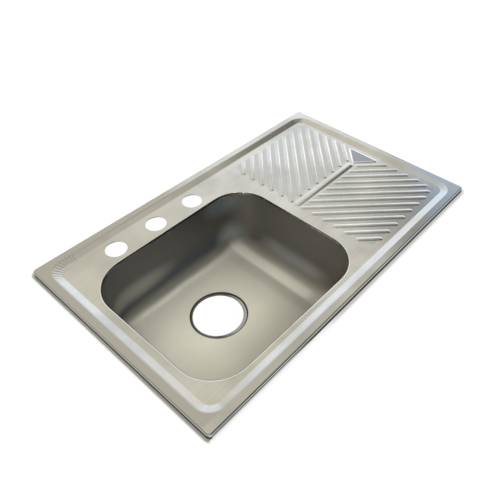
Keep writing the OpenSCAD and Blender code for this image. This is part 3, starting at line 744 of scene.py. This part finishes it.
class SINK_OT_deck(bpy.types.Operator):
    """Make the pressed top with its rim, tap holes and drainboard pattern"""

    bl_idname = "sink.deck"
    bl_label = "Pressed Top"

    def execute(self, context):
        scene = context.scene
        top, board, bowl = scene.sink_top, scene.sink_board, scene.sink_bowl
        finish = scene.sink_finish
        bm = bmesh.new()
        z = top.rim_height - top.drop
        rings = [self.edge_ring(bm, top), self.lip_ring(bm, bowl, z)]
        for i in (-1, 0, 1):
            x = top.tap_x + i * top.tap_pitch
            loops = [
                circle(x, top.tap_y, top.tap_radius + margin, z, TAP_POINTS)
                for margin in (1.5 * MM, 0)
            ]
            rings.append(loft(bm, loops)[0])
        rings += self.rib_rings(bm, board, z)
        rings += self.centre_rings(bm, board, z)
        fill(bm, rings)
        material = satin_steel(
            "satin_steel_top", finish.steel, finish.steel_worn, rough_low=0.15, rough_high=0.25,
            wave_depth=1.0 * MM, marks=top_marks,
        )
        piece = new_piece("pressed_top", bm, material, ["deck"])
        thicken(piece, top.sheet)
        return {"FINISHED"}

    def edge_ring(self, bm, top):
        """Skirt, fold, land and sloped band, from the outside in."""
        half = Vector((top.width / 2, top.depth / 2))
        height, margin, least_corner = top.rim_height, 1.5 * MM, 3 * MM
        tilt = math.atan2(top.drop, top.slope)
        run = top.bend * math.tan(tilt / 2)
        tilt = math.degrees(tilt)
        start, end = top.land - run, top.land + top.slope + run
        profile = [(0, 0), *bend(top.fold, height - top.fold, top.fold, 180, -90, BEND_STEPS)]
        outer = len(profile)
        profile += [
            (top.fold + margin, height),
            (start - margin, height),
            *bend(start, height - top.bend, top.bend, 90, -tilt, SLOPE_STEPS),
            *bend(end, height - top.drop + top.bend, top.bend, 270 - tilt, tilt, SLOPE_STEPS),
            (end + 1.2 * MM, height - top.drop),
        ]
        loops = []
        for i, (inset, z) in enumerate(profile):
            radius = top.slope_corner - (inset - top.land)
            if i <= outer:
                radius = max(top.rim_corner - inset, least_corner)
            loops.append(
                oblong(inset - half.x, half.x - inset, inset - half.y, half.y - inset, radius,
                       z, RIM_STEPS)
            )
        return loft(bm, loops)[1]

    def lip_ring(self, bm, bowl, z):
        """Lip that turns the deck down into the bowl, and its collar."""
        profile = [
            (bowl.lip + 1.6 * MM, z),
            *bend(bowl.lip, z - bowl.lip, bowl.lip, 90, 90, LIP_STEPS),
            (0, z - bowl.lip - bowl.collar),
        ]
        loops = [
            oblong(bowl.left - out, bowl.right + out, bowl.front - out, bowl.back + out,
                   bowl.corner + out, level, BOWL_STEPS)
            for out, level in profile
        ]
        return loft(bm, loops)[0]

    def rib_rings(self, bm, board, z):
        """Ribs at 45 degrees in both halves; those at the right end on the field's arc."""
        half = board.rib_width / 2
        right, far = board.right - half, board.half_depth - half
        arc = Vector((board.right - board.corner, board.half_depth - board.corner))
        reach = board.corner - half
        rings = []
        for k in range(board.ribs):
            shift = board.first_rib - k * board.pitch
            start = max(board.gap + half, board.left + half - shift)
            end = min(far, right - shift)
            if end > arc.y and end + shift > arc.x:
                room = reach * reach / 2 - (arc.x - arc.y - shift) ** 2 / 4
                end = (arc.x + arc.y - shift) / 2 + math.sqrt(max(0.0, room))
            near, away = Vector((start + shift, start)), Vector((end + shift, end))
            for corners in (
                [near, away],
                [Vector((near.x, -near.y)), Vector((away.x, -away.y))],
            ):
                loops = pressed_loops(corners, half, board.rib_height, z, RIB_STEPS)
                rings.append(raised(bm, loops))
        return rings

    def centre_rings(self, bm, board, z):
        """Ridge along the centre line, raised triangle and punch mark."""
        line = [Vector((board.ridge_left, 0)), Vector((board.ridge_right, 0))]
        half = board.ridge_width / 2
        ridge = pressed_loops(line, half, board.ridge_height, z, RIDGE_STEPS)
        left_share = 0.45
        for loop in ridge:
            for point in loop:
                along = (point.x - board.ridge_left) / (board.ridge_right - board.ridge_left)
                share = left_share + (1 - left_share) * min(1.0, max(0.0, along))
                point.z = z + (point.z - z) * share
        corners = [
            Vector((board.tip, 0)), Vector((board.base, -board.half_base)),
            Vector((board.base, board.half_base)),
        ]
        triangle = [
            rounded(
                corners, board.triangle_corner + out, z + board.triangle_height * up, RIB_STEPS
            )
            for out, up in (
                (3.0 * MM, 0), (2.6 * MM, 0), (2.0 * MM, 0.06), (1.3 * MM, 0.21),
                (0.5 * MM, 0.44), (-0.4 * MM, 0.68), (-1.2 * MM, 0.86), (-2.0 * MM, 0.97),
                (-2.8 * MM, 1), (-3.6 * MM, 1),
            )
        ]
        mark = [
            circle(board.mark_x, board.mark_y, radius * MM, z - down * MM, MARK_POINTS)
            for radius, down in ((4, 0), (3, 0), (1.8, 0.3), (0.8, 0.5))
        ]
        return [raised(bm, loops) for loops in (ridge, triangle, mark)]


class SINK_OT_bowl(bpy.types.Operator):
    """Make the drawn bowl with its floor fillet and drain recess"""

    bl_idname = "sink.bowl"
    bl_label = "Bowl"

    def execute(self, context):
        top, bowl = context.scene.sink_top, context.scene.sink_bowl
        finish = context.scene.sink_finish
        deck = top.rim_height - top.drop
        self.floor = deck - bowl.depth
        self.brim = deck - bowl.lip - bowl.collar
        bm = bmesh.new()
        stages = [0, 0.3, 0.6, 0.9] + [1 + 0.5 * i for i in range(2 * FLOOR_STAGE - 1)]
        loops = [self.ring(bowl, stage) for stage in stages]
        loops.append(self.ring(bowl, FLOOR_STAGE, margin=3 * MM))
        walls = loft(bm, loops)[1]
        fill(bm, [walls, loft(bm, self.drain_loops(bowl))[0]])
        material = satin_steel(
            "satin_steel_bowl", finish.bowl, finish.bowl_worn, rough_low=0.60, rough_high=0.68,
            wave_depth=0.4 * MM, marks=bowl_marks,
        )
        piece = new_piece("drawn_bowl", bm, material, ["bowl"])
        thicken(piece, top.sheet)
        return {"FINISHED"}

    def side(self, bowl, stage, fillet):
        """How far in and how high a side of the wall is at a stage."""
        if stage <= 1:
            top = self.floor + fillet
            return bowl.draft * stage, self.brim + (top - self.brim) * stage
        a = math.radians(90) * (stage - 1) / (FLOOR_STAGE - 1)
        return (
            bowl.draft + fillet * (1 - math.cos(a)),
            self.floor + fillet * (1 - math.sin(a)),
        )

    def ring(self, bowl, stage, margin=0.0):
        """The bowl's outline at a stage; the drainboard's side stands higher in its fillet."""
        inset, level = self.side(bowl, stage, bowl.fillet)
        board_inset, board_level = self.side(bowl, stage, bowl.board_fillet)
        radius = bowl.corner + (bowl.floor_corner - bowl.corner) * stage / FLOOR_STAGE - margin
        outline = oblong(
            bowl.left + inset + margin, bowl.right - board_inset - margin,
            bowl.front + inset + margin, bowl.back - inset - margin, radius, 0, BOWL_STEPS,
        )
        for i, point in enumerate(outline):
            quarter, step = divmod(i, BOWL_STEPS + 1)
            a = math.radians(90) * (quarter + step / BOWL_STEPS)
            across = board_level if quarter in (0, 3) else level
            point.z = across * math.cos(a) ** 2 + level * math.sin(a) ** 2
        return outline

    def drain_loops(self, bowl):
        """Flat margin, the recess's two bends and its ledge around the hole."""
        turn = bowl.recess_bend
        ledge = self.floor - bowl.recess_depth
        wall = bowl.recess_radius - turn
        profile = [
            (bowl.recess_radius + turn * 0.6, self.floor),
            *bend(bowl.recess_radius, self.floor - turn, turn, 90, 90, BEND_STEPS),
            *bend(wall - turn, ledge + turn, turn, 0, -90, BEND_STEPS),
        ]
        x, y = bowl.drain_x + bowl.recess_x, bowl.drain_y + bowl.recess_y
        loops = [circle(x, y, radius, level, DRAIN_POINTS) for radius, level in profile]
        for margin in (0.8 * MM, 0):
            radius = bowl.drain_radius + margin
            loops.append(circle(bowl.drain_x, bowl.drain_y, radius, ledge, DRAIN_POINTS))
        return loops


class SINK_OT_fittings(bpy.types.Operator):
    """Finish the seal, stiffeners, pads and clamps under the top"""

    bl_idname = "sink.fittings"
    bl_label = "Fittings"

    def execute(self, context):
        finish = context.scene.sink_finish
        zinc = zinc_plate("zinc_plate", finish.zinc)
        foam = foam_strip("foam_strip", finish.foam)
        bitumen = bitumen_pad("bitumen_pad", finish.bitumen)
        for name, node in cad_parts.items():
            if name in ("deck", "bowl"):
                continue
            material = zinc
            if name == "rim_seal":
                material = foam
            elif name.startswith("sound_pad"):
                material = bitumen
            for slot in node.material_slots:
                slot.material = material
        return {"FINISHED"}


class SINK_OT_stage(bpy.types.Operator):
    """Set the worktop, the room's light, the lamps and the camera"""

    bl_idname = "sink.stage"
    bl_label = "Stage"

    def execute(self, context):
        finish = context.scene.sink_finish
        self.floor(finish)
        self.room(context, finish)
        self.lamps(context)
        self.camera(context)
        context.scene.view_settings.view_transform = "Standard"
        return {"FINISHED"}

    def floor(self, finish):
        """A large worktop with the cut-out that the sink hangs in."""
        bm = bmesh.new()
        reach, cut_out = (9.0, 9.0), (385 * MM, 235 * MM)
        corners = ((1, 1), (-1, 1), (-1, -1), (1, -1))
        loft(bm, [
            [Vector((x * half_x, y * half_y, 0)) for x, y in corners]
            for half_x, half_y in (reach, cut_out)
        ])
        face_up(bm)
        mesh = bpy.data.meshes.new("worktop")
        bm.to_mesh(mesh)
        bm.free()
        mesh.materials.append(worktop("pale_worktop", finish.floor))
        floor = bpy.data.objects.new("worktop", mesh)
        bpy.context.scene.collection.objects.link(floor)

    def room(self, context, finish):
        """Room light by direction: a pale side at the back right, low windows and a dim side."""
        world = context.scene.world or bpy.data.worlds.new("room")
        context.scene.world = world
        world.use_nodes = True
        s = Shader(world.node_tree)
        way = s.add("ShaderNodeTexCoord").outputs["Generated"]
        x, y, height = s.split(way)
        bearing = s.math("ARCTAN2", y, x)

        def patch(azimuth, elevation, inner, outer):
            """Round patch of the room in degrees, full within one angle and gone at another."""
            a, e = math.radians(azimuth), math.radians(elevation)
            aim = (math.cos(e) * math.cos(a), math.cos(e) * math.sin(a), math.sin(e))
            cosines = [math.cos(math.radians(angle)) for angle in (outer, inner)]
            return s.ramp(s.toward(way, aim), *cosines)

        def span(value, low, soft_low, soft_high, high):
            rise = s.ramp(value, low, soft_low)
            return s.product(rise, s.ramp(value, soft_high, high, 1.0, 0.0))

        def bearings(*degrees):
            """Mask between two bearings, with soft ends."""
            return span(bearing, *(math.radians(d) for d in degrees))

        def heights(*degrees):
            """Mask between two heights over the horizon, with soft ends."""
            return span(height, *(math.sin(math.radians(d)) for d in degrees))

        left_side = patch(160, 40, 25, 60)
        pale_side = patch(72, 42, 36, 54)
        shaded_ceiling = s.product(patch(14, 62, 3, 18), 0.4)
        panel = s.product(bearings(24, 29, 52, 57), heights(20, 25, 45, 51))
        cool_front = patch(-42, 22, 8, 24)
        cool_right = s.product(bearings(-10, 8, 24, 28), heights(10, 20, 38, 41))
        low_windows = s.product(bearings(-8, 6, 62, 71), heights(2, 8, 29, 32.5))
        high_windows = s.product(bearings(37, 41, 62, 71), heights(18, 24, 33, 37))
        pane = s.product(bearings(-8, 6, 56, 64), heights(2, 5, 11, 15))
        below = s.ramp(height, -0.03, -0.005, 1.0, 0.0)
        light = rgba(finish.room_dark)
        for mask, shade in (
            (left_side, finish.room_dim), (pale_side, finish.room),
            (shaded_ceiling, finish.room_dim), (panel, finish.panel),
            (cool_front, finish.room_cool), (cool_right, finish.room_cool),
            (patch(21.7, 41.4, 0.8, 4.5), finish.room_dark),
            (patch(7, 48, 3, 9), finish.room_dark),
            (low_windows, finish.window), (high_windows, finish.window),
            (patch(19, 25, 3, 7), finish.glare), (pane, finish.glare),
            (below, (1.0, 1.0, 1.0)),
        ):
            light = s.mix(mask, light, rgba(shade))
        sky = s.add("ShaderNodeBackground", Color=light, Strength=1.0)
        s.add("ShaderNodeOutputWorld", Surface=sky.outputs[0])

    def lamps(self, context):
        """A narrow soft lamp over the bowl and a wide one behind the camera's shoulder."""
        for name, place, size, power, spread in (
            ("bowl_lamp", (-0.158, 0.022, 1.7), (0.33, 0.24), 0.21, 8),
            ("soft_lamp", (-1.9, -1.6, 2.6), (2.6, 2.6), 10.0, 180),
        ):
            lamp = bpy.data.lights.new(name, "AREA")
            lamp.shape = "RECTANGLE"
            lamp.size, lamp.size_y = size
            lamp.energy = power
            lamp.spread = math.radians(spread)
            lamp.color = (1.0, 0.985, 0.96)
            holder = bpy.data.objects.new(name, lamp)
            holder.location = place
            if name == "soft_lamp":
                holder.rotation_euler = Vector(place).to_track_quat("Z", "Y").to_euler()
            holder.visible_camera = False
            context.scene.collection.objects.link(holder)

    def camera(self, context):
        """The photograph's viewpoint."""
        azimuth, elevation = math.radians(-49.6708), math.radians(44.676)
        roll = math.radians(1.1004)
        back = Vector((
            math.sin(azimuth) * math.cos(elevation), -math.cos(azimuth) * math.cos(elevation),
            math.sin(elevation),
        ))
        side = Vector((math.cos(azimuth), math.sin(azimuth), 0))
        up = back.cross(side)
        right = side * math.cos(roll) + up * math.sin(roll)
        over = up * math.cos(roll) - side * math.sin(roll)
        turn = Matrix((right, over, back)).transposed().to_4x4()
        lens = bpy.data.cameras.new("photo_view")
        lens.sensor_fit = "VERTICAL"
        lens.sensor_height = 36.0
        lens.sensor_width = 30.0
        lens.lens = 37.3313
        lens.shift_x = -0.07255
        lens.shift_y = -0.01508
        lens.clip_end = 50.0
        holder = bpy.data.objects.new("photo_view", lens)
        holder.matrix_world = Matrix.Translation((-0.59005, -0.55466, 0.76052)) @ turn
        context.scene.collection.objects.link(holder)
        context.scene.camera = holder


class SINK_PT_panel(bpy.types.Panel):
    """Lists the sink's sizes, finishes and pieces"""

    bl_label = "Kitchen Sink"
    bl_idname = "SINK_PT_panel"
    bl_space_type = "VIEW_3D"
    bl_region_type = "UI"
    bl_category = "Sink"

    def draw(self, context):
        for label, group in (
            ("Top", context.scene.sink_top), ("Drainboard", context.scene.sink_board),
            ("Bowl", context.scene.sink_bowl), ("Finish", context.scene.sink_finish),
        ):
            column = self.layout.box().column(align=True)
            column.label(text=label)
            for key in group.__annotations__:
                column.prop(group, key)
        for operator in OPERATORS:
            self.layout.operator(operator.bl_idname)


GROUPS = {
    "sink_top": SinkTop, "sink_board": SinkBoard, "sink_bowl": SinkBowl,
    "sink_finish": SinkFinish,
}
OPERATORS = (SINK_OT_deck, SINK_OT_bowl, SINK_OT_fittings, SINK_OT_stage)


def register():
    for name, group in GROUPS.items():
        bpy.utils.register_class(group)
        setattr(bpy.types.Scene, name, PointerProperty(type=group))
    for cls in (*OPERATORS, SINK_PT_panel):
        bpy.utils.register_class(cls)


def unregister():
    for cls in (SINK_PT_panel, *reversed(OPERATORS)):
        bpy.utils.unregister_class(cls)
    for name, group in reversed(list(GROUPS.items())):
        delattr(bpy.types.Scene, name)
        bpy.utils.unregister_class(group)


def main():
    register()
    bpy.ops.sink.stage()
    bpy.ops.sink.deck()
    bpy.ops.sink.bowl()
    bpy.ops.sink.fittings()


if __name__ == "__main__":
    main()
